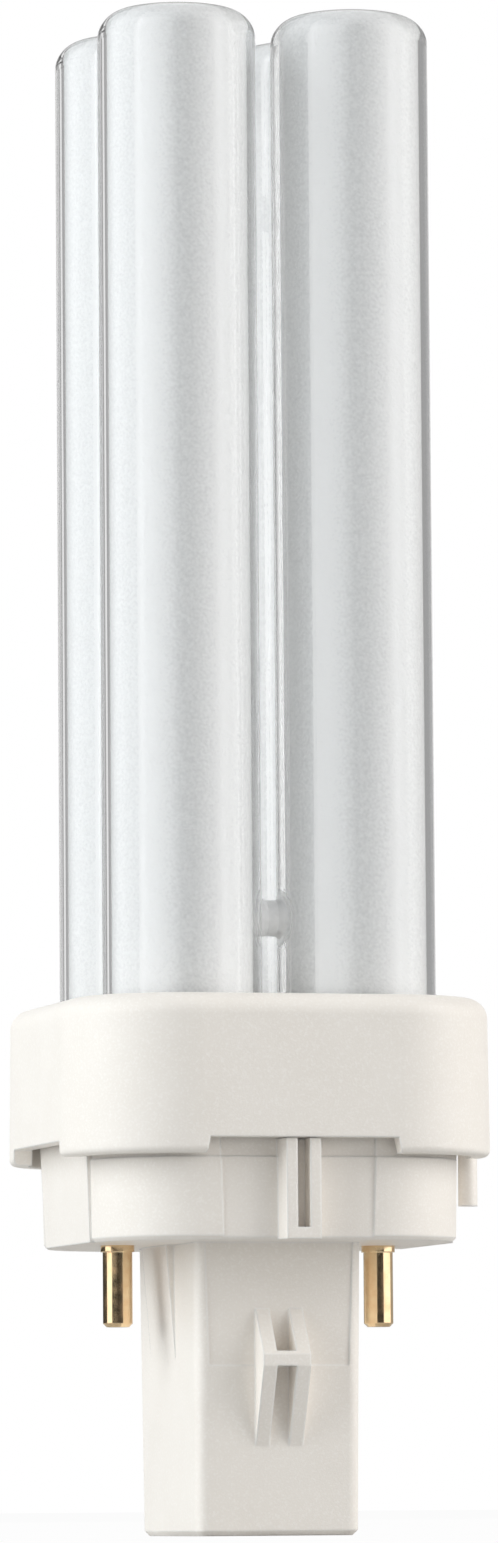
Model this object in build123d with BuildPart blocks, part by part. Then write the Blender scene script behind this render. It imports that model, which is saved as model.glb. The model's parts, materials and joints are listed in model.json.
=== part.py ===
from build123d import *
import os

# Plug-in compact fluorescent lamp with four limbs and two pins, in millimetres.
# It stands on the foot of its post: z = 0 there, +Z runs up the lamp's axis,
# the pins lie along X and the front face looks towards -Y.

# Heights, from the foot of the post upwards
overall_length = 118.0
post_length = 22.4
skirt_height = 6.3
neck_height = 4.3
rim_gap = 0.2
collar_height = 12.2
limb_depth = 6.1

# Glass limbs and the bridges welded between them
limb_diameter = 12.3
limb_gap = 1.6
glass_wall = 0.7
dome_corner = 2.3
dome_crown = 0.15
dome_wall = 0.25
foot_wall = 1.2
bridge_diameter = 2.8
flare_reach = 0.4
flare_length = 0.8
top_bridge_drop = 12.5
low_bridge_rise = 6.3

# Pinch seals on the two limbs that hold a cathode
pinch_width = 7.0
pinch_thickness = 2.6
pinch_height = 3.4
pinch_corner = 0.85
glass_gap = 0.03

# Powder coating inside the glass
coat_gap = 0.04
coat_thickness = 0.15
coat_start = 1.0

# Cathodes and wires
wire_diameter = 0.5
wire_gap = 0.05
lead_spacing = 3.6
lead_drop = 3.2
lead_rise = 1.6
bead_diameter = 1.6
bead_height = 1.4
bead_drop = 3.2
coil_diameter = 0.9
coil_height = 7.8

# Collar
collar_margin = 3.8
collar_corner = 9.0
collar_draft = 0.6
collar_wall = 1.5
collar_roof = 1.6
collar_edge = 1.6
rim_edge = 0.5
ledge_width = 1.4
limb_clearance = 0.15
notch_width = 14.8
notch_height = 1.2
notch_slope = 0.25
tongue_diameter = 1.5
tongue_length = 4.8
tongue_y = -5.6

# Cement between the limbs and the collar
cement_height = 3.5
cement_gap = 0.05

# Skirt and neck of the plug body
skirt_inset_x = 2.5
skirt_inset_y = 1.9
skirt_corner = 7.5
skirt_draft = 1.0
skirt_edge = 0.3
plug_wall = 1.5
seat_plate = 1.5
neck_step = 0.15
boss_width = 15.2
boss_draft = 2.4
boss_gap = 0.5
recess_width = 12.4
recess_foot_width = 11.8
recess_depth = 0.2
key_rib_width = 2.7
key_rib_spread = 0.35
key_rib_reach = 1.5
slot_width = 1.0
slot_floor = 0.9
seat_gap = 0.05

# Centre post of the plug body
post_foot_x = 12.9
post_foot_y = 17.1
post_head_x = 13.2
post_head_y = 18.1
post_corner = 0.9
post_edge = 0.4
post_wall = 1.4
post_floor = 1.5
root_depth = 0.7
key_front_y = -2.5
key_width = 7.5
key_reach = 0.67
key_length = 8.9
panel_head_width = 11.7
panel_foot_width = 11.1
panel_length = 9.4
panel_depth = 0.1

# H shaped latch on the front and back of the post
latch_pitch = 2.65
latch_rib_width = 1.1
latch_level = 12.9
latch_rise = 4.4
latch_fall = 6.1
latch_reach = 2.45
latch_land = 0.9
latch_bar_slope = 0.25

# Contact pins
pin_spacing = 20.95
pin_diameter = 2.3
pin_length = 6.3
pin_tip = 0.28
pin_bore = 1.2
pin_wall_end = 0.9
pin_gap = 0.03
pin_shank_diameter = 2.62
pin_shoulder = 0.5
pin_head_diameter = 3.6
pin_head = 0.6

# Glow starter and capacitor in the post
starter_gap = 0.4
starter_diameter = 7.0
starter_wall = 0.6
starter_height = 13.2
starter_shoulder = 1.6
starter_pinch_width = 4.4
starter_pinch_thickness = 1.8
starter_pinch_height = 2.6
starter_lead_spacing = 2.0
starter_lead_length = 3.0
electrode_depth = 5.0
bimetal_thickness = 0.3
bimetal_width = 1.6
bimetal_loop = 1.6
capacitor_gap = 0.4
capacitor_x = 7.0
capacitor_thickness = 2.6
capacitor_height = 7.4
capacitor_edge = 0.6
capacitor_lead_spacing = 5.0
part_gap = 0.05

# Levels worked out from the sizes above
seat_z = post_length
ledge_z = seat_z + skirt_height
neck_top = ledge_z + neck_height
rim_z = ledge_z + rim_gap
notch_z = rim_z + notch_height
collar_top = rim_z + collar_height
roof_z = collar_top - collar_roof
limb_foot = collar_top - limb_depth
pinch_foot = limb_foot - pinch_height
top_bridge_z = overall_length - top_bridge_drop
low_bridge_z = collar_top + low_bridge_rise
coil_z = limb_foot + foot_wall + coil_height
plate_top = seat_z + seat_plate
pin_tip_z = seat_z - pin_length
pin_head_z = plate_top + pin_head
starter_foot = post_floor + part_gap
starter_top = starter_foot + starter_height
starter_lead_top = starter_top + starter_pinch_height + starter_lead_length
capacitor_top = post_floor + part_gap + capacitor_height

limb_radius = limb_diameter / 2
limb_pitch = limb_diameter + limb_gap
bridge_radius = bridge_diameter / 2
half_pitch = limb_pitch / 2
wire_radius = wire_diameter / 2

collar_width = limb_pitch + limb_diameter + 2 * collar_margin
inner_half = collar_width / 2 - collar_wall
ledge_half = inner_half - ledge_width
ledge_corner = collar_corner - collar_wall - ledge_width
skirt_x = collar_width - 2 * skirt_inset_x
skirt_y = collar_width - 2 * skirt_inset_y
front_y = skirt_y / 2

bore_x = post_foot_x - 2 * post_wall
bore_y = post_foot_y - 2 * post_wall
starter_y = starter_gap + (starter_diameter - bore_y) / 2
capacitor_y = (bore_y - capacitor_thickness) / 2 - capacitor_gap

cathode_spots = [(-half_pitch, half_pitch), (half_pitch, half_pitch)]
lead_spots = [(x + shift, y) for x, y in cathode_spots for shift in (-lead_spacing / 2, lead_spacing / 2)]
pin_spots = [(-pin_spacing / 2, 0), (pin_spacing / 2, 0)]
starter_spots = [(-starter_lead_spacing / 2, starter_y), (starter_lead_spacing / 2, starter_y)]

os.makedirs("parts", exist_ok=True)


def limb_bundle(shrink, drop, foot_z):
    """Four domed limbs and three bridges as one solid, walls moved in by shrink and domes down by drop."""
    radius = limb_radius - shrink
    top_z = overall_length - drop
    with BuildPart() as limb:
        with BuildSketch(Plane.XZ) as section:
            with BuildLine():
                shoulder = (radius, top_z - dome_crown)
                Polyline((0, top_z), (0, foot_z), (radius, foot_z), shoulder)
                TangentArc((0, top_z), shoulder, tangent=(1, 0))
            make_face()
            corner = section.vertices().group_by(Axis.X)[-1].sort_by(Axis.Y)[-1]
            fillet(corner, radius=dome_corner - shrink)
        revolve(axis=Axis.Z)
    with BuildPart() as bundle:
        with GridLocations(limb_pitch, limb_pitch, 2, 2):
            add(limb.part)
        with Locations((-half_pitch, 0, top_bridge_z), (half_pitch, 0, top_bridge_z)):
            Cylinder(bridge_radius - shrink, limb_pitch, rotation=(90, 0, 0))
        with Locations((0, -half_pitch, low_bridge_z)):
            Cylinder(bridge_radius - shrink, limb_pitch, rotation=(0, 90, 0))
    return bundle.part


def bottle(shrink):
    """Starter bottle with coned ends, every wall moved inwards by shrink."""
    with BuildPart() as form:
        with BuildSketch(Plane.XY.offset(starter_foot + shrink)):
            with Locations((0, starter_y)):
                Circle(starter_diameter / 2 - shrink)
        extrude(amount=starter_height - 2 * shrink)
        chamfer(form.edges().filter_by(GeomType.CIRCLE), length=starter_shoulder)
    return form.part


def wire(points):
    """Round wire along straight runs, mitred at its bends."""
    with BuildPart() as piece:
        with BuildLine() as path:
            Polyline(*points)
        with BuildSketch(Plane(origin=path.line @ 0, z_dir=path.line % 0)):
            Circle(wire_radius)
        sweep(transition=Transition.RIGHT)
    return piece.part


def facing(turn, distance=0.0, lean=0.0):
    """Plane with local y upwards that looks at the front (turn 1) or the back (turn -1)."""
    return Plane(origin=(0, -turn * distance, 0), x_dir=(turn, 0, 0), z_dir=(0, -turn, -lean))


def trapezoid(foot_width, head_width, foot_z, head_z):
    """Corners of a symmetric face between two levels of the sketch plane."""
    return [
        (-foot_width / 2, foot_z),
        (-head_width / 2, head_z),
        (head_width / 2, head_z),
        (foot_width / 2, foot_z),
    ]


def write(part, name):
    """Label one finished piece and write it to its own file."""
    part.label = name
    export_step(part, f"parts/{name}.step")


# Discharge tube: one glass vessel, closed at its feet, with flares where the bridges are welded to the
# limbs and pinch seals on the two back limbs
with BuildPart() as discharge_tube:
    add(limb_bundle(0.0, 0.0, limb_foot))
    for way in (1, -1):
        for limb_x in (-half_pitch, half_pitch):
            with Locations((limb_x, way * limb_gap / 2, top_bridge_z)):
                Cone(bridge_radius + flare_reach, bridge_radius, flare_length, rotation=(way * 90, 0, 0))
        with Locations((way * limb_gap / 2, -half_pitch, low_bridge_z)):
            Cone(bridge_radius + flare_reach, bridge_radius, flare_length, rotation=(0, -way * 90, 0))
    with BuildSketch(Plane.XY.offset(pinch_foot)):
        with Locations(*cathode_spots):
            RectangleRounded(pinch_width, pinch_thickness, pinch_corner)
    extrude(amount=pinch_height)
    add(limb_bundle(glass_wall, dome_wall, limb_foot + foot_wall), mode=Mode.SUBTRACT)
    with BuildSketch(Plane.XY.offset(pinch_foot)):
        with Locations(*lead_spots):
            Circle(wire_radius + glass_gap)
    extrude(amount=pinch_height + foot_wall, mode=Mode.SUBTRACT)
write(discharge_tube.part, "discharge_tube")

# Powder coating: a thin sleeve that lines the limbs and the bridges, open at the feet
coat_foot = limb_foot + foot_wall + coat_start
coat_depth = coat_gap + coat_thickness
with BuildPart() as phosphor_coating:
    add(limb_bundle(glass_wall + coat_gap, dome_wall + coat_gap, coat_foot))
    hollow = limb_bundle(glass_wall + coat_depth, dome_wall + coat_depth, coat_foot - coat_start)
    add(hollow, mode=Mode.SUBTRACT)
write(phosphor_coating.part, "phosphor_coating")

# Cathodes: an emitter coil between two lead-in wires that a glass bead holds apart
bead_z = coil_z - bead_drop - bead_height
coil_length = lead_spacing - wire_diameter - 2 * wire_gap
lead_top = coil_z + coil_diameter / 2
for side, sign in (("left", -1), ("right", 1)):
    limb_x = sign * half_pitch
    outer_x = limb_x + sign * lead_spacing / 2
    inner_x = limb_x - sign * lead_spacing / 2
    with BuildPart() as cathode_coil:
        with Locations((limb_x, half_pitch, coil_z)):
            Cylinder(coil_diameter / 2, coil_length, rotation=(0, 90, 0))
    write(cathode_coil.part, f"cathode_coil_{side}")

    with BuildPart() as cathode_bead:
        with BuildSketch(Plane.XY.offset(bead_z)):
            with Locations((limb_x, half_pitch)):
                SlotCenterToCenter(lead_spacing, bead_diameter)
            with Locations((outer_x, half_pitch), (inner_x, half_pitch)):
                Circle(wire_radius + glass_gap, mode=Mode.SUBTRACT)
        extrude(amount=bead_height)
    write(cathode_bead.part, f"cathode_bead_{side}")

    pin_x = sign * pin_spacing / 2
    to_pin = [
        (outer_x, half_pitch, lead_top),
        (outer_x, half_pitch, pinch_foot - lead_drop),
        (pin_x, 0, pin_head_z + lead_drop),
        (pin_x, 0, pin_tip_z + pin_wall_end + wire_gap),
    ]
    write(wire(to_pin), f"lead_in_{side}_outer")

    starter_x = sign * starter_lead_spacing / 2
    to_starter = [
        (inner_x, half_pitch, lead_top),
        (inner_x, half_pitch, pinch_foot - lead_drop),
        (starter_x, starter_y, plate_top + lead_rise),
        (starter_x, starter_y, starter_lead_top + wire_gap),
    ]
    write(wire(to_starter), f"lead_in_{side}_inner")

# Cement: bonds the limbs under the roof of the collar
cement_width = 2 * (ledge_half - cement_gap)
with BuildPart() as capping_cement:
    with BuildSketch(Plane.XY.offset(roof_z - cement_height)):
        RectangleRounded(cement_width, cement_width, ledge_corner)
        with GridLocations(limb_pitch, limb_pitch, 2, 2):
            Circle(limb_radius + cement_gap, mode=Mode.SUBTRACT)
    extrude(amount=cement_height)
write(capping_cement.part, "capping_cement")

# Collar: drafted shell with a roof, a seating ledge, rim notches and one hanging tongue
notch_foot_width = notch_width + 2 * notch_slope
with BuildPart() as collar:
    with BuildSketch(Plane.XY.offset(rim_z)):
        RectangleRounded(collar_width, collar_width, collar_corner)
    extrude(amount=collar_height, taper=collar_draft)
    fillet(collar.faces().sort_by(Axis.Z)[-1].edges(), radius=collar_edge)
    fillet(collar.faces().sort_by(Axis.Z)[0].edges(), radius=rim_edge)
    with BuildSketch(Plane.XY.offset(rim_z)):
        RectangleRounded(2 * inner_half, 2 * inner_half, collar_corner - collar_wall)
    extrude(amount=neck_top - rim_z, mode=Mode.SUBTRACT)
    with BuildSketch(Plane.XY.offset(neck_top)):
        RectangleRounded(2 * ledge_half, 2 * ledge_half, ledge_corner)
    extrude(amount=roof_z - neck_top, mode=Mode.SUBTRACT)
    with BuildSketch(Plane.XY.offset(roof_z)):
        with GridLocations(limb_pitch, limb_pitch, 2, 2):
            Circle(limb_radius + limb_clearance)
    extrude(amount=collar_roof, mode=Mode.SUBTRACT)
    for wall in (Plane.XZ, Plane.YZ):
        with BuildSketch(wall):
            with BuildLine():
                Polyline(*trapezoid(notch_foot_width, notch_width, rim_z, notch_z), close=True)
            make_face()
        extrude(amount=collar_width, both=True, mode=Mode.SUBTRACT)
    with BuildSketch(Plane.XY.offset(notch_z)):
        with Locations((inner_half + tongue_diameter / 2, tongue_y)):
            Circle(tongue_diameter / 2)
    extrude(amount=-tongue_length)
write(collar.part, "collar")

# Plug body: post, skirt and neck in one moulding, open at the top
cavity_x = skirt_x - 2 * plug_wall
cavity_y = skirt_y - 2 * (recess_depth + plug_wall)
rib_height = notch_z - seat_gap - seat_z
rib_root_width = key_rib_width + 2 * key_rib_spread
rib_root_y = front_y - recess_depth - root_depth
rib_front_y = front_y + key_rib_reach
recess_flare = (recess_width - recess_foot_width) / (skirt_height + neck_height)
recess_ledge_width = recess_foot_width + recess_flare * skirt_height
lean_x = (post_head_x - post_foot_x) / 2 / post_length
lean_y = (post_head_y - post_foot_y) / 2 / post_length
key_root_x = root_depth - post_head_x / 2
key_head_x = -post_head_x / 2 - key_reach
key_tip_x = -post_head_x / 2 + lean_x * key_length
key_tip_z = seat_z - key_length
panel_foot = seat_z - panel_length
latch_root = post_foot_y / 2 - root_depth
latch_foot = latch_level - latch_fall
latch_head = latch_level + latch_rise
land_head = latch_level + latch_land
bar_head = land_head + latch_bar_slope
latch_foot_y = post_foot_y / 2 + lean_y * latch_foot
latch_head_y = post_foot_y / 2 + lean_y * latch_head
latch_peak = post_foot_y / 2 + lean_y * latch_level + latch_reach
bar_head_y = latch_peak - latch_bar_slope / (latch_head - land_head) * (latch_peak - latch_head_y)

with BuildPart() as plug_body:
    # Tapered post
    for level, width, depth in ((0, post_foot_x, post_foot_y), (seat_z, post_head_x, post_head_y)):
        with BuildSketch(Plane.XY.offset(level)):
            RectangleRounded(width, depth, post_corner)
    loft()
    chamfer(plug_body.faces().sort_by(Axis.Z)[0].edges(), length=post_edge)
    # Skirt, narrower towards the pins, and the neck that goes up into the collar
    with BuildSketch(Plane.XY.offset(ledge_z)):
        RectangleRounded(skirt_x, skirt_y, skirt_corner)
    extrude(amount=-skirt_height, taper=skirt_draft)
    seat_face = plug_body.faces().filter_by(Axis.Z).sort_by(Axis.Z)[-2]
    chamfer(seat_face.outer_wire().edges(), length=skirt_edge)
    with BuildSketch(Plane.XY.offset(ledge_z)):
        RectangleRounded(skirt_x - 2 * neck_step, skirt_y - 2 * neck_step, skirt_corner - neck_step)
    extrude(amount=neck_height)
    # Side bosses that fill the gap to the collar
    with BuildSketch(Plane.XY.offset(neck_top)):
        Rectangle(2 * (inner_half - boss_gap), boss_width)
    extrude(amount=seat_z - neck_top, taper=boss_draft)
    # Recess in the front and back walls, deeper along the neck, with a slotted key rib that stands in it
    for turn in (1, -1):
        recess_floor = facing(turn, front_y - recess_depth)
        with BuildSketch(recess_floor):
            with BuildLine():
                Polyline(*trapezoid(recess_foot_width, recess_width, seat_z, neck_top), close=True)
            make_face()
        extrude(amount=recess_depth, mode=Mode.SUBTRACT)
        with BuildSketch(facing(turn, front_y - recess_depth - neck_step)):
            with BuildLine():
                Polyline(*trapezoid(recess_ledge_width, recess_width, ledge_z, neck_top), close=True)
            make_face()
        extrude(amount=recess_depth + neck_step, mode=Mode.SUBTRACT)
        with BuildSketch(Plane.XY.offset(seat_z)):
            with BuildLine():
                rib_plan = trapezoid(rib_root_width, key_rib_width, -turn * rib_root_y, -turn * rib_front_y)
                Polyline(*rib_plan, close=True)
            make_face()
        extrude(amount=rib_height)
        with BuildSketch(recess_floor):
            with Locations((0, seat_z + slot_floor)):
                Rectangle(slot_width, rib_height, align=(Align.CENTER, Align.MIN))
        extrude(amount=recess_depth + key_rib_reach, mode=Mode.SUBTRACT)
    # Hollow: the skirt's well, the post's bore, and the holes and head pockets for the pins
    with BuildSketch(Plane.XY.offset(plate_top)):
        RectangleRounded(cavity_x, cavity_y, skirt_corner - recess_depth - plug_wall)
        with Locations(*pin_spots):
            Circle(pin_head_diameter / 2 + pin_gap)
    extrude(amount=neck_top - plate_top, mode=Mode.SUBTRACT)
    with BuildSketch(Plane.XY.offset(post_floor)):
        RectangleRounded(bore_x, bore_y, post_corner)
    extrude(amount=plate_top - post_floor, mode=Mode.SUBTRACT)
    with BuildSketch(Plane.XY.offset(seat_z)):
        with Locations(*pin_spots):
            Circle(pin_shank_diameter / 2 + pin_gap)
    extrude(amount=seat_plate, mode=Mode.SUBTRACT)
    for turn in (1, -1):
        # Wedge shaped key on the side of the post
        with BuildSketch(facing(turn, -key_front_y - key_width)):
            with BuildLine():
                Polyline(
                    (key_root_x, seat_z),
                    (key_head_x, seat_z),
                    (key_tip_x, key_tip_z),
                    (key_root_x, key_tip_z),
                    close=True,
                )
            make_face()
        extrude(amount=key_width)
        # Shallow panel on the face of the post
        with BuildSketch(facing(turn, post_foot_y / 2, lean_y)):
            with BuildLine():
                Polyline(*trapezoid(panel_foot_width, panel_head_width, panel_foot, seat_z), close=True)
            make_face()
        extrude(amount=-panel_depth, mode=Mode.SUBTRACT)
        # Two latch ribs and the bar between them
        for rib_x in (-latch_pitch / 2, latch_pitch / 2):
            with BuildSketch(Plane.YZ.offset(rib_x - latch_rib_width / 2)):
                with BuildLine():
                    Polyline(
                        (-turn * latch_root, latch_foot),
                        (-turn * latch_foot_y, latch_foot),
                        (-turn * latch_peak, latch_level),
                        (-turn * latch_peak, land_head),
                        (-turn * latch_head_y, latch_head),
                        (-turn * latch_root, latch_head),
                        close=True,
                    )
                make_face()
            extrude(amount=latch_rib_width)
        with BuildSketch(Plane.YZ.offset(-latch_pitch / 2)):
            with BuildLine():
                Polyline(
                    (-turn * latch_root, latch_level),
                    (-turn * latch_peak, latch_level),
                    (-turn * latch_peak, land_head),
                    (-turn * bar_head_y, bar_head),
                    (-turn * latch_root, bar_head),
                    close=True,
                )
            make_face()
        extrude(amount=latch_pitch)
write(plug_body.part, "plug_body")

# Contact pins: hollow brass pins riveted through the seat plate
pin_radius = pin_diameter / 2
shank_radius = pin_shank_diameter / 2
head_radius = pin_head_diameter / 2
for side, (pin_x, pin_y) in zip(("left", "right"), pin_spots):
    with BuildPart() as contact_pin:
        with BuildSketch(Plane(origin=(pin_x, pin_y, 0), x_dir=(1, 0, 0), z_dir=(0, -1, 0))):
            with BuildLine():
                Polyline(
                    (0, pin_tip_z),
                    (pin_radius - pin_tip, pin_tip_z),
                    (pin_radius, pin_tip_z + pin_tip),
                    (pin_radius, seat_z - pin_shoulder),
                    (shank_radius, seat_z - pin_shoulder),
                    (shank_radius, plate_top),
                    (head_radius, plate_top),
                    (head_radius, pin_head_z),
                    (pin_bore / 2, pin_head_z),
                    (pin_bore / 2, pin_tip_z + pin_wall_end),
                    (0, pin_tip_z + pin_wall_end),
                    close=True,
                )
            make_face()
        revolve(axis=Axis((pin_x, pin_y, 0), (0, 0, 1)))
    write(contact_pin.part, f"contact_pin_{side}")

# Starter bottle: a small glass bulb with its own pinch, standing in the post
electrode_foot = starter_top - starter_wall - electrode_depth
electrode_length = starter_lead_top - electrode_foot
with BuildPart() as starter_bulb:
    add(bottle(0.0))
    add(bottle(starter_wall), mode=Mode.SUBTRACT)
    with BuildSketch(Plane.XY.offset(starter_top - starter_wall)):
        with Locations((0, starter_y)):
            Rectangle(starter_pinch_width, starter_pinch_thickness)
    extrude(amount=starter_pinch_height + starter_wall)
    with BuildSketch(Plane.XY.offset(electrode_foot)):
        with Locations(*starter_spots):
            Circle(wire_radius + glass_gap)
    extrude(amount=electrode_length, mode=Mode.SUBTRACT)
write(starter_bulb.part, "starter_bulb")

# Starter electrodes: a straight post and a bimetal strip folded back beside it
fixed_x = starter_lead_spacing / 2
with BuildPart() as starter_fixed_electrode:
    with BuildSketch(Plane.XY.offset(electrode_foot)):
        with Locations((fixed_x, starter_y)):
            Circle(wire_radius)
    extrude(amount=electrode_length)
write(starter_fixed_electrode.part, "starter_fixed_electrode")

loop_z = electrode_foot - bimetal_loop
near_x = fixed_x - wire_radius - wire_gap - bimetal_thickness / 2
loop_radius = (near_x + fixed_x) / 2
with BuildPart() as starter_bimetal:
    with BuildSketch(Plane.XY.offset(electrode_foot)):
        with Locations((-fixed_x, starter_y)):
            Circle(wire_radius)
    extrude(amount=electrode_length)
    with BuildSketch(Plane.XZ.offset(-starter_y)):
        with BuildLine():
            Line((-fixed_x, electrode_foot), (-fixed_x, loop_z))
            loop_foot = (near_x - loop_radius, loop_z - loop_radius)
            ThreePointArc((-fixed_x, loop_z), loop_foot, (near_x, loop_z))
            Line((near_x, loop_z), (near_x, electrode_foot + bimetal_loop))
            offset(amount=bimetal_thickness / 2)
        make_face()
    extrude(amount=bimetal_width / 2, both=True)
write(starter_bimetal.part, "starter_bimetal")

# Capacitor across the starter, with its two leads
with BuildPart() as suppression_capacitor:
    with BuildSketch(Plane.XY.offset(post_floor + part_gap)):
        with Locations((0, capacitor_y)):
            Rectangle(capacitor_x, capacitor_thickness)
    extrude(amount=capacitor_height)
    chamfer(suppression_capacitor.edges(), length=capacitor_edge)
write(suppression_capacitor.part, "suppression_capacitor")

head_y = starter_y + wire_diameter + wire_gap
for side, sign in (("left", -1), ("right", 1)):
    foot_x = sign * capacitor_lead_spacing / 2
    head_x = sign * starter_lead_spacing / 2
    lead = [
        (foot_x, capacitor_y, capacitor_top + wire_gap),
        (foot_x, capacitor_y, starter_top + lead_rise),
        (head_x, head_y, starter_lead_top - lead_rise),
        (head_x, head_y, starter_lead_top),
    ]
    write(wire(lead), f"capacitor_lead_{side}")
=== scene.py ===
import json
import math

import bmesh
import bpy
from mathutils import Matrix, Vector


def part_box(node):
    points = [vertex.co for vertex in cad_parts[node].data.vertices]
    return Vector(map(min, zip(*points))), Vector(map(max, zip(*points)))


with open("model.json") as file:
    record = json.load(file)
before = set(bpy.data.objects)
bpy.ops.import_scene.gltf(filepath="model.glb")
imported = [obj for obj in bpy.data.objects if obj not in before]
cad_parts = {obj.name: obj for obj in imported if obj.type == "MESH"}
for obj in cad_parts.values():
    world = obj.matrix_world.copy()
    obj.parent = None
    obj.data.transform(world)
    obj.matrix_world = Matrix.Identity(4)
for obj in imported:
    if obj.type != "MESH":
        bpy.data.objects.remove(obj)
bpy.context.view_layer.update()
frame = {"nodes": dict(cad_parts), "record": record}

nodes = frame["nodes"]
scene = bpy.context.scene
scene.view_settings.view_transform = "Standard"

# Camera, from the photograph's own perspective: image 498 by 1543, in metres and degrees
CAMERA_BEARING = -15.05
CAMERA_DISTANCE = 0.62695
CAMERA_HEIGHT = 0.0020
CAMERA_TILT = 5.23
CAMERA_PAN = -0.03
CAMERA_ROLL = -0.42
CAMERA_LENS = 188.14
SENSOR_LONG_SIDE = 36.0
CLIP_START = 0.01
CLIP_END = 50.0

# Light: bearings are measured like the camera's, from the front, positive to the right.
# Each soft box stands on the floor: name, first and last bearing, distance, radiance, colour. White powder
# passes light on from limb to limb, so the powder and the glass round it have their own share of each box
# with shadows, and one without, which come last. The slope is a box's height for each metre of its distance
COOL_WHITE = (0.96, 1.0, 1.02)
PLAIN_WHITE = (1.0, 1.0, 1.0)
WARM_WHITE = (1.0, 0.99, 0.97)
BOXES = (
    ("left_box", -104.0, -70.0, 0.62, 4.35, COOL_WHITE, 0.84, 0.08),
    ("left_edge", -70.0, -59.0, 0.62, 4.35, COOL_WHITE, 0.25, 0.0),
    ("right_edge", 27.0, 46.0, 0.75, 1.6, PLAIN_WHITE, 0.50, 0.35),
    ("right_box", 46.0, 93.0, 0.70, 3.25, WARM_WHITE, 0.46, 0.48),
    ("back_box", 135.0, 215.0, 0.80, 1.4, PLAIN_WHITE, 0.50, 0.80),
)
BOX_SLOPE = 1.2

# Strips on the lamp's axis, for the light that the white limbs throw on one another: name, the way each faces
# and its radiance, and then foot, head and width of all
STRIPS = (
    ("strip_front_left", -45.0, 2.9),
    ("strip_front_right", 45.0, 2.9),
    ("strip_back_right", 145.0, 3.5),
    ("strip_back_left", -135.0, 2.9),
)
STRIP_FOOT = 0.042
STRIP_HEAD = 0.114
STRIP_WIDTH = 0.0008

# Rings round the set that only glass and metal see, with the soft boxes' images in them.
# Each has a foot, a head, and pairs of bearing and grey
RING_RADIUS = 0.95
RING_STEP = 1.0
PIN_STOPS = (
    (-180.0, 0.06), (-106.0, 0.06), (-102.0, 1.5), (-61.0, 1.5), (-57.0, 0.04), (25.0, 0.04),
    (29.0, 1.4), (90.0, 1.5), (96.0, 0.42), (149.0, 0.36), (153.0, 1.0), (180.0, 1.0),
)
LIMB_STOPS = (
    (-180.0, 0.32), (-166.0, 0.32), (-164.0, 0.95), (-158.0, 0.95), (-156.0, 0.32), (-140.0, 0.4),
    (-118.0, 1.4), (-79.0, 1.5), (-77.0, 3.2), (-73.0, 3.2), (-71.0, 2.5), (-55.0, 2.3), (-40.0, 1.8),
    (-32.0, 1.5), (-13.0, 0.12), (4.0, 0.2), (18.0, 0.8), (34.0, 1.5), (44.0, 2.0), (50.0, 2.7),
    (68.0, 1.8), (88.0, 0.8), (98.0, 0.36),
)
RINGS = (
    ("low_ring", -0.2, 0.07, PIN_STOPS),
    ("middle_ring", 0.07, 0.30, LIMB_STOPS + ((149.0, 0.34), (153.0, 1.0), (180.0, 1.0))),
    ("high_ring", 0.30, 1.2, LIMB_STOPS + ((149.0, 0.45), (180.0, 0.55))),
)

# Floor and backdrop: the fill is what the world gives the object, and the glow is how white the camera
# sees the floor
WORLD_FILL = 0.21
WORLD_WHITE = (1.0, 1.0, 1.0, 1.0)
FLOOR_RADIUS = 8.0
FLOOR_SIDES = 64
FLOOR_PAPER = (0.55, 0.55, 0.545, 1.0)
FLOOR_GLOW = 0.96

# Bridges between the limbs: thickness of a limb, the low bridge above the collar, the top ones below the
# limbs' tops, how far from a bridge's centre its glass is milky and evenly so, and how milky it is at most
LIMB_DIAMETER = 0.0123
LOW_BRIDGE_RISE = 0.0063
TOP_BRIDGE_DROP = 0.0125
WELD_REACH = 0.0026
WELD_CORE = 0.75 * WELD_REACH
WELD_SHARE = 0.92

# Edges of the mouldings: samples of the rounded normal, and how far it agrees with the surface's own, as a
# cosine, where an edge counts in full and where it ends
EDGE_SAMPLES = 6
EDGE_FULL = 0.90
EDGE_NONE = 0.99

# Colours of the finishes
GLASS_CLEAR = (1.0, 1.0, 1.0, 1.0)
GLASS_PASS = (0.985, 0.99, 0.99, 1.0)
WELD_MILK = (0.95, 0.955, 0.96, 1.0)
POWDER_COLOURS = (0.86, 0.862, 0.868), (0.985, 0.987, 0.99)
PLASTIC_COLOURS = (0.865, 0.818, 0.760), (0.885, 0.840, 0.785)
PLASTIC_SPECK = (0.95, 0.915, 0.87)
# The plastic's edge colour is a painted highlight: paler edges that stand in for the glints light makes on
# them
PLASTIC_EDGE_HIGHLIGHT = (0.99, 0.975, 0.95)
BRASS_COLOURS = (0.95, 0.75, 0.47), (0.86, 0.59, 0.34)
TUNGSTEN_COLOURS = (0.30, 0.29, 0.28), (0.42, 0.41, 0.40)
LEAD_WIRE_COLOURS = (0.66, 0.64, 0.60), (0.78, 0.76, 0.72)
CEMENT_COLOURS = (0.50, 0.44, 0.36), (0.66, 0.60, 0.50)
CASE_COLOURS = (0.42, 0.16, 0.05), (0.52, 0.22, 0.07)


def bearing(degrees, distance, height=0.0):
    """A point at this bearing and distance from the lamp's axis."""
    angle = math.radians(degrees)
    return Vector((distance * math.sin(angle), -distance * math.cos(angle), height))


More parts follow.
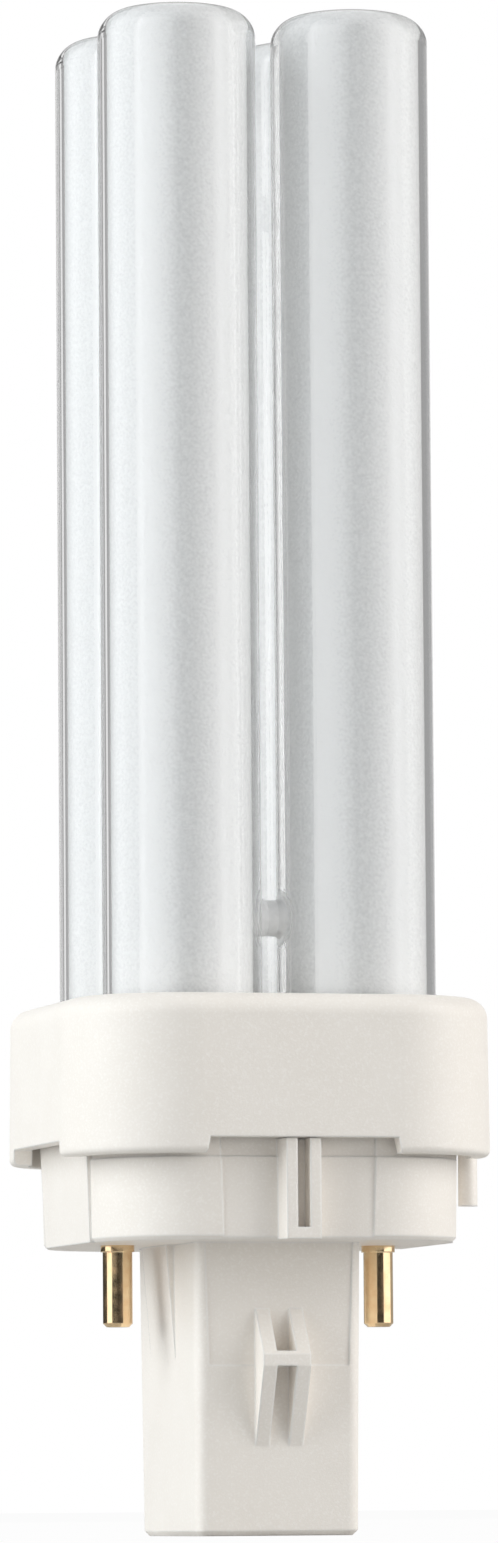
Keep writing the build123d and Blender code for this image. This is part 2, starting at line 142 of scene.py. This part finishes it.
def make_camera():
    """Camera at the photograph's place, with its pan, tilt and roll."""
    yaw = math.radians(CAMERA_BEARING + CAMERA_PAN)
    tilt = math.radians(CAMERA_TILT)
    roll = math.radians(CAMERA_ROLL)
    level = Vector((-math.sin(yaw), math.cos(yaw), 0.0))
    flat_right = Vector((math.cos(yaw), math.sin(yaw), 0.0))
    ahead = level * math.cos(tilt) + Vector((0.0, 0.0, math.sin(tilt)))
    plain_up = flat_right.cross(ahead)
    right = flat_right * math.cos(roll) + plain_up * math.sin(roll)
    up = plain_up * math.cos(roll) - flat_right * math.sin(roll)
    data = bpy.data.cameras.new("camera")
    data.lens = CAMERA_LENS
    data.sensor_width = SENSOR_LONG_SIDE
    data.sensor_fit = "AUTO"
    data.clip_start = CLIP_START
    data.clip_end = CLIP_END
    camera = bpy.data.objects.new("camera", data)
    place = bearing(CAMERA_BEARING, CAMERA_DISTANCE, CAMERA_HEIGHT)
    turn = Matrix((right, up, -ahead)).transposed()
    camera.matrix_world = Matrix.Translation(place) @ turn.to_4x4()
    scene.collection.objects.link(camera)
    scene.camera = camera


def make_lamp(name, place, facing, size, radiance, colour, receivers):
    """An unseen area lamp of this width and height that lights only what the receivers say."""
    width, height = size
    data = bpy.data.lights.new(name, "AREA")
    data.shape = "RECTANGLE"
    data.size = width
    data.size_y = height
    data.color = colour
    data.energy = radiance * math.pi * width * height
    lamp = bpy.data.objects.new(name, data)
    turn = facing.to_track_quat("-Z", "Y").to_matrix().to_4x4()
    lamp.matrix_world = Matrix.Translation(place) @ turn
    lamp.visible_camera = False
    lamp.visible_glossy = False
    lamp.visible_transmission = False
    lamp.light_linking.receiver_collection = receivers
    scene.collection.objects.link(lamp)
    return lamp


def make_receivers():
    """Two collections for the lamps: the powder with the glass round it, and all the rest."""
    powder = bpy.data.collections.new("powder")
    others = bpy.data.collections.new("all_but_powder")
    for name in ("phosphor_coating", "discharge_tube"):
        powder.objects.link(nodes[name])
        others.objects.link(nodes[name])
    for row in others.collection_objects:
        row.light_linking.link_state = "EXCLUDE"
    return powder, others


def make_boxes(powder, others):
    """The soft boxes, and for the powder a share of each with shadows and a share without."""
    for name, first, last, distance, radiance, colour, shaded_share, through_share in BOXES:
        width = 2.0 * distance * math.tan(math.radians(last - first) / 2.0)
        height = BOX_SLOPE * distance
        place = bearing((first + last) / 2.0, distance, height / 2.0)
        inwards = Vector((-place.x, -place.y, 0.0))
        stand = (place, inwards, (width, height))
        make_lamp(name, *stand, radiance, colour, others)
        make_lamp(f"{name}_powder", *stand, radiance * shaded_share, colour, powder)
        if through_share:
            through = make_lamp(f"{name}_through", *stand, radiance * through_share, colour, powder)
            through.data.use_shadow = False


def make_strips(powder):
    """Soft strips between the limbs that light only the powder which faces them."""
    place = Vector((0.0, 0.0, (STRIP_FOOT + STRIP_HEAD) / 2.0))
    size = (STRIP_WIDTH, STRIP_HEAD - STRIP_FOOT)
    for name, degrees, radiance in STRIPS:
        strip = make_lamp(name, place, bearing(degrees, 1.0), size, radiance, PLAIN_WHITE, powder)
        strip.data.use_shadow = False


def make_lights():
    """All lamps, with what each of them lights."""
    powder, others = make_receivers()
    make_boxes(powder, others)
    make_strips(powder)


class Wiring:
    """A node tree, emptied down to its output, and short ways to fill it."""

    def __init__(self, owner, output):
        owner.use_nodes = True
        self.tree = owner.node_tree
        self.tree.nodes.clear()
        self.out = self.add(output)

    def add(self, kind, **values):
        """A node, with its inputs set by name."""
        made = self.tree.nodes.new(kind)
        for socket, value in values.items():
            made.inputs[socket.replace("_", " ")].default_value = value
        return made

    def link(self, source, target):
        """One wire between two sockets."""
        self.tree.links.new(source, target)

    def join(self, operation, first, second):
        """Two values made into one."""
        made = self.add("ShaderNodeMath")
        made.operation = operation
        self.link(first, made.inputs[0])
        self.link(second, made.inputs[1])
        return made.outputs[0]

    def mix(self, share, first, second):
        """The first shader, with this share of the second."""
        made = self.add("ShaderNodeMixShader")
        for source, target in zip((share, first, second), made.inputs):
            self.link(source, target)
        return made.outputs[0]

    def show(self, shader):
        """The shader goes to the output."""
        self.link(shader, self.out.inputs["Surface"])


def ring_level(stops, degrees):
    """The grey of a ring at a bearing, straight between its stops."""
    for (first, start), (last, end) in zip(stops, stops[1:]):
        if degrees <= last:
            return start + (end - start) * (degrees - first) / (last - first)
    return stops[-1][1]


def ring_cloth(name):
    """Material that glows as strongly as the mesh's own grey says."""
    material = bpy.data.materials.new(name)
    cloth = Wiring(material, "ShaderNodeOutputMaterial")
    glow = cloth.add("ShaderNodeEmission")
    grey = cloth.add("ShaderNodeAttribute")
    grey.attribute_name = "level"
    cloth.link(grey.outputs["Fac"], glow.inputs["Strength"])
    cloth.show(glow.outputs["Emission"])
    return material


def make_ring(name, foot, head, stops):
    """A glowing ring round the set, which only glass and metal see."""
    mesh = bmesh.new()
    level = mesh.verts.layers.float.new("level")
    edges = []
    for step in range(round(360.0 / RING_STEP) + 1):
        degrees = -180.0 + step * RING_STEP
        pair = [mesh.verts.new(bearing(degrees, RING_RADIUS, height)) for height in (foot, head)]
        for vertex in pair:
            vertex[level] = ring_level(stops, degrees)
        edges.append(pair)
    for (low_a, high_a), (low_b, high_b) in zip(edges, edges[1:]):
        mesh.faces.new((low_a, low_b, high_b, high_a))
    data = bpy.data.meshes.new(name)
    mesh.to_mesh(data)
    mesh.free()
    ring = bpy.data.objects.new(name, data)
    ring.visible_camera = False
    ring.visible_diffuse = False
    ring.visible_shadow = False
    scene.collection.objects.link(ring)
    data.materials.append(ring_cloth(f"{name}_cloth"))


def floor_paper():
    """Pale paper that keeps the shadow and shows nearly white to the camera."""
    material = bpy.data.materials.new("floor_paper")
    paper = Wiring(material, "ShaderNodeOutputMaterial")
    matte = paper.add("ShaderNodeBsdfDiffuse", Color=FLOOR_PAPER)
    glow = paper.add("ShaderNodeEmission")
    path = paper.add("ShaderNodeLightPath")
    share = paper.add("ShaderNodeMath")
    share.operation = "MULTIPLY"
    share.inputs[1].default_value = FLOOR_GLOW
    paper.link(path.outputs["Is Camera Ray"], share.inputs[0])
    paper.show(paper.mix(share.outputs[0], matte.outputs[0], glow.outputs[0]))
    return material


def make_floor():
    """A wide round floor under the lamp."""
    mesh = bmesh.new()
    bmesh.ops.create_circle(mesh, cap_ends=True, segments=FLOOR_SIDES, radius=FLOOR_RADIUS)
    data = bpy.data.meshes.new("floor")
    mesh.to_mesh(data)
    mesh.free()
    floor = bpy.data.objects.new("floor", data)
    scene.collection.objects.link(floor)
    data.materials.append(floor_paper())


def make_world():
    """White behind the object for what is seen, a grey fill for what is lit."""
    world = bpy.data.worlds.new("studio")
    studio = Wiring(world, "ShaderNodeOutputWorld")
    fill = studio.add("ShaderNodeBackground", Color=WORLD_WHITE, Strength=WORLD_FILL)
    white = studio.add("ShaderNodeBackground", Color=WORLD_WHITE, Strength=1.0)
    path = studio.add("ShaderNodeLightPath")
    seen = path.outputs["Is Camera Ray"]
    for kind in ("Is Glossy Ray", "Is Transmission Ray"):
        seen = studio.join("MAXIMUM", seen, path.outputs[kind])
    studio.show(studio.mix(seen, fill.outputs[0], white.outputs[0]))
    scene.world = world


class Paint(Wiring):
    """One procedural material: a Principled shader and the nodes that feed it."""

    def __init__(self, name, **values):
        self.material = bpy.data.materials.new(name)
        super().__init__(self.material, "ShaderNodeOutputMaterial")
        self.shader = self.add("ShaderNodeBsdfPrincipled", **values)
        self.show(self.shader.outputs["BSDF"])
        self.place = self.add("ShaderNodeTexCoord").outputs["Object"]

    def noise(self, scale, detail=2.0, stretch=None):
        """Noise in the lamp's own space: scale is in patches a metre."""
        place = self.place
        if stretch is not None:
            mapping = self.add("ShaderNodeMapping", Scale=stretch)
            self.link(place, mapping.inputs["Vector"])
            place = mapping.outputs["Vector"]
        made = self.add("ShaderNodeTexNoise", Scale=scale, Detail=detail)
        self.link(place, made.inputs["Vector"])
        return made.outputs["Fac"]

    def spread(self, source, low=0.0, high=1.0, near=0.3, far=0.7):
        """The source, stretched from near..far to low..high."""
        made = self.add("ShaderNodeMapRange", From_Min=near, From_Max=far, To_Min=low, To_Max=high)
        self.link(source, made.inputs["Value"])
        return made.outputs["Result"]

    def blend(self, source, colours):
        """A colour between two, by the source, into Base Color."""
        first, second = colours
        made = self.add("ShaderNodeMix")
        made.data_type = "RGBA"
        made.inputs["A"].default_value = (*first, 1.0)
        made.inputs["B"].default_value = (*second, 1.0)
        self.link(source, made.inputs["Factor"])
        self.link(made.outputs["Result"], self.shader.inputs["Base Color"])
        return made.outputs["Result"]

    def tint(self, source, under, colour):
        """Another colour over the one that comes in, by the source, into Base Color."""
        made = self.add("ShaderNodeMix")
        made.data_type = "RGBA"
        made.inputs["B"].default_value = (*colour, 1.0)
        self.link(source, made.inputs["Factor"])
        self.link(under, made.inputs["A"])
        self.link(made.outputs["Result"], self.shader.inputs["Base Color"])
        return made.outputs["Result"]

    def bump(self, source, height, normal=None):
        """Relief of this height, in metres, on top of another normal if one is given."""
        made = self.add("ShaderNodeBump", Strength=1.0, Distance=height)
        self.link(source, made.inputs["Height"])
        if normal is not None:
            self.link(normal, made.inputs["Normal"])
        self.link(made.outputs["Normal"], self.shader.inputs["Normal"])

    def soft_edge(self, radius):
        """A normal that rounds sharp edges off over this radius."""
        made = self.add("ShaderNodeBevel", Radius=radius)
        made.samples = EDGE_SAMPLES
        return made.outputs["Normal"]

    def edges(self, rounded):
        """One along the edges, where the rounded normal leaves the surface's own, and nought on the flats."""
        own = self.add("ShaderNodeNewGeometry").outputs["Normal"]
        turn = self.add("ShaderNodeVectorMath")
        turn.operation = "DOT_PRODUCT"
        self.link(rounded, turn.inputs[0])
        self.link(own, turn.inputs[1])
        return self.spread(turn.outputs["Value"], low=1.0, high=0.0, near=EDGE_FULL, far=EDGE_NONE)

    def away(self, place, centre):
        """How far a place is from a centre."""
        made = self.add("ShaderNodeVectorMath")
        made.operation = "DISTANCE"
        made.inputs[1].default_value = centre
        self.link(place, made.inputs[0])
        return made.outputs["Value"]


def weld_share(paint):
    """How milky the glass is: most in the welds of the three bridges, cloudy, and nought on the limbs."""
    tube_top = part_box("discharge_tube")[1]
    limb_axis = tube_top.x - LIMB_DIAMETER / 2.0
    low_bridge = (0.0, -limb_axis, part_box("collar")[1].z + LOW_BRIDGE_RISE)
    top_bridge = (limb_axis, 0.0, tube_top.z - TOP_BRIDGE_DROP)
    mirrored = paint.add("ShaderNodeVectorMath")
    mirrored.operation = "ABSOLUTE"
    paint.link(paint.place, mirrored.inputs[0])
    to_low = paint.away(paint.place, low_bridge)
    to_top = paint.away(mirrored.outputs["Vector"], top_bridge)
    nearest = paint.join("MINIMUM", to_low, to_top)
    cloud = paint.spread(paint.noise(scale=900.0), low=0.75)
    solid = paint.spread(nearest, low=WELD_SHARE, high=0.0, near=WELD_CORE, far=WELD_REACH)
    return paint.join("MULTIPLY", cloud, solid)


def glass_paint():
    """Clear drawn glass, slightly wavy, that lets lamp light through to the powder, with milky welds."""
    paint = Paint("clear_glass", Base_Color=GLASS_CLEAR, Roughness=0.0, IOR=1.52, Transmission_Weight=1.0)
    paint.bump(paint.noise(scale=160.0, stretch=(1.0, 1.0, 0.03)), height=0.000004)
    path = paint.add("ShaderNodeLightPath")
    passes = paint.join("MAXIMUM", path.outputs["Is Shadow Ray"], path.outputs["Is Diffuse Ray"])
    clear = paint.add("ShaderNodeBsdfTransparent", Color=GLASS_PASS)
    milky = paint.add("ShaderNodeBsdfDiffuse", Color=WELD_MILK)
    welded = paint.mix(weld_share(paint), paint.shader.outputs[0], milky.outputs[0])
    paint.show(paint.mix(passes, welded, clear.outputs[0]))
    return paint.material


def powder_paint():
    """Matte white powder with a fine grain that lets some light through."""
    depth = {"Subsurface_Weight": 0.25, "Subsurface_Radius": (1.0, 1.0, 1.0), "Subsurface_Scale": 0.0004}
    paint = Paint("phosphor_powder", Roughness=0.9, Specular_IOR_Level=0.2, **depth)
    grain = paint.noise(scale=4200.0, detail=3.0)
    paint.blend(paint.spread(grain), POWDER_COLOURS)
    paint.bump(grain, height=0.00006)
    return paint.material


def plastic_paint():
    """Warm white moulded plastic with a fine satin grain, soft smoother edges, and a painted highlight that
    tints the edges paler.
    """
    paint = Paint("white_plastic")
    rounded = paint.soft_edge(radius=0.00025)
    edge = paint.edges(rounded)
    body = paint.blend(paint.spread(paint.noise(scale=260.0, detail=3.0)), PLASTIC_COLOURS)
    speck = paint.spread(paint.noise(scale=5200.0), high=0.7, near=0.50, far=0.75)
    grain = paint.tint(speck, body, PLASTIC_SPECK)
    # Painted highlight: every edge is tinted paler, in place of the glints the lamps make on rounded edges
    paint.tint(edge, grain, PLASTIC_EDGE_HIGHLIGHT)
    gloss = paint.spread(edge, low=0.42, high=0.24, near=0.0, far=1.0)
    paint.link(gloss, paint.shader.inputs["Roughness"])
    paint.bump(paint.noise(scale=9000.0), height=0.000012, normal=rounded)
    return paint.material


def brass_paint():
    """Drawn brass with faint lines along the pin and a thin tarnish."""
    paint = Paint("brass_pin", Metallic=1.0)
    tarnish = paint.noise(scale=1100.0, detail=4.0)
    paint.blend(paint.spread(tarnish), BRASS_COLOURS)
    paint.link(paint.spread(tarnish, low=0.06, high=0.14), paint.shader.inputs["Roughness"])
    lines = paint.noise(scale=2600.0, stretch=(1.0, 1.0, 0.12))
    paint.bump(lines, height=0.000004, normal=paint.soft_edge(radius=0.0001))
    return paint.material


def wire_paint(name, colours, roughness):
    """Drawn metal wire with fine lines."""
    paint = Paint(name, Metallic=1.0, Roughness=roughness)
    paint.blend(paint.spread(paint.noise(scale=2200.0)), colours)
    paint.bump(paint.noise(scale=6000.0, stretch=(1.0, 1.0, 0.2)), height=0.00001)
    return paint.material


def cement_paint():
    """Grainy buff capping cement."""
    paint = Paint("cement", Roughness=0.9)
    grain = paint.noise(scale=2600.0, detail=5.0)
    paint.blend(paint.spread(grain), CEMENT_COLOURS)
    paint.bump(grain, height=0.0001)
    return paint.material


def case_paint():
    """Dipped capacitor case with a glossy, slightly uneven skin."""
    paint = Paint("capacitor_case", Roughness=0.3)
    cloud = paint.noise(scale=700.0, detail=3.0)
    paint.blend(paint.spread(cloud), CASE_COLOURS)
    paint.bump(cloud, height=0.00008, normal=paint.soft_edge(radius=0.0003))
    return paint.material


def paint_nodes():
    """Each CAD node takes the finish of its slot in the record."""
    finishes = {
        "clear_glass": glass_paint(),
        "phosphor_powder": powder_paint(),
        "white_plastic": plastic_paint(),
        "brass_pin": brass_paint(),
        "tungsten": wire_paint("tungsten", TUNGSTEN_COLOURS, roughness=0.45),
        "lead_wire": wire_paint("lead_wire", LEAD_WIRE_COLOURS, roughness=0.3),
        "cement": cement_paint(),
        "capacitor_case": case_paint(),
    }
    for row in frame["record"]["subparts"]:
        data = nodes[row["node"]].data
        data.materials.clear()
        data.materials.append(finishes[row["material_slot"]])


make_camera()
make_world()
make_floor()
for ring_row in RINGS:
    make_ring(*ring_row)
make_lights()
paint_nodes()
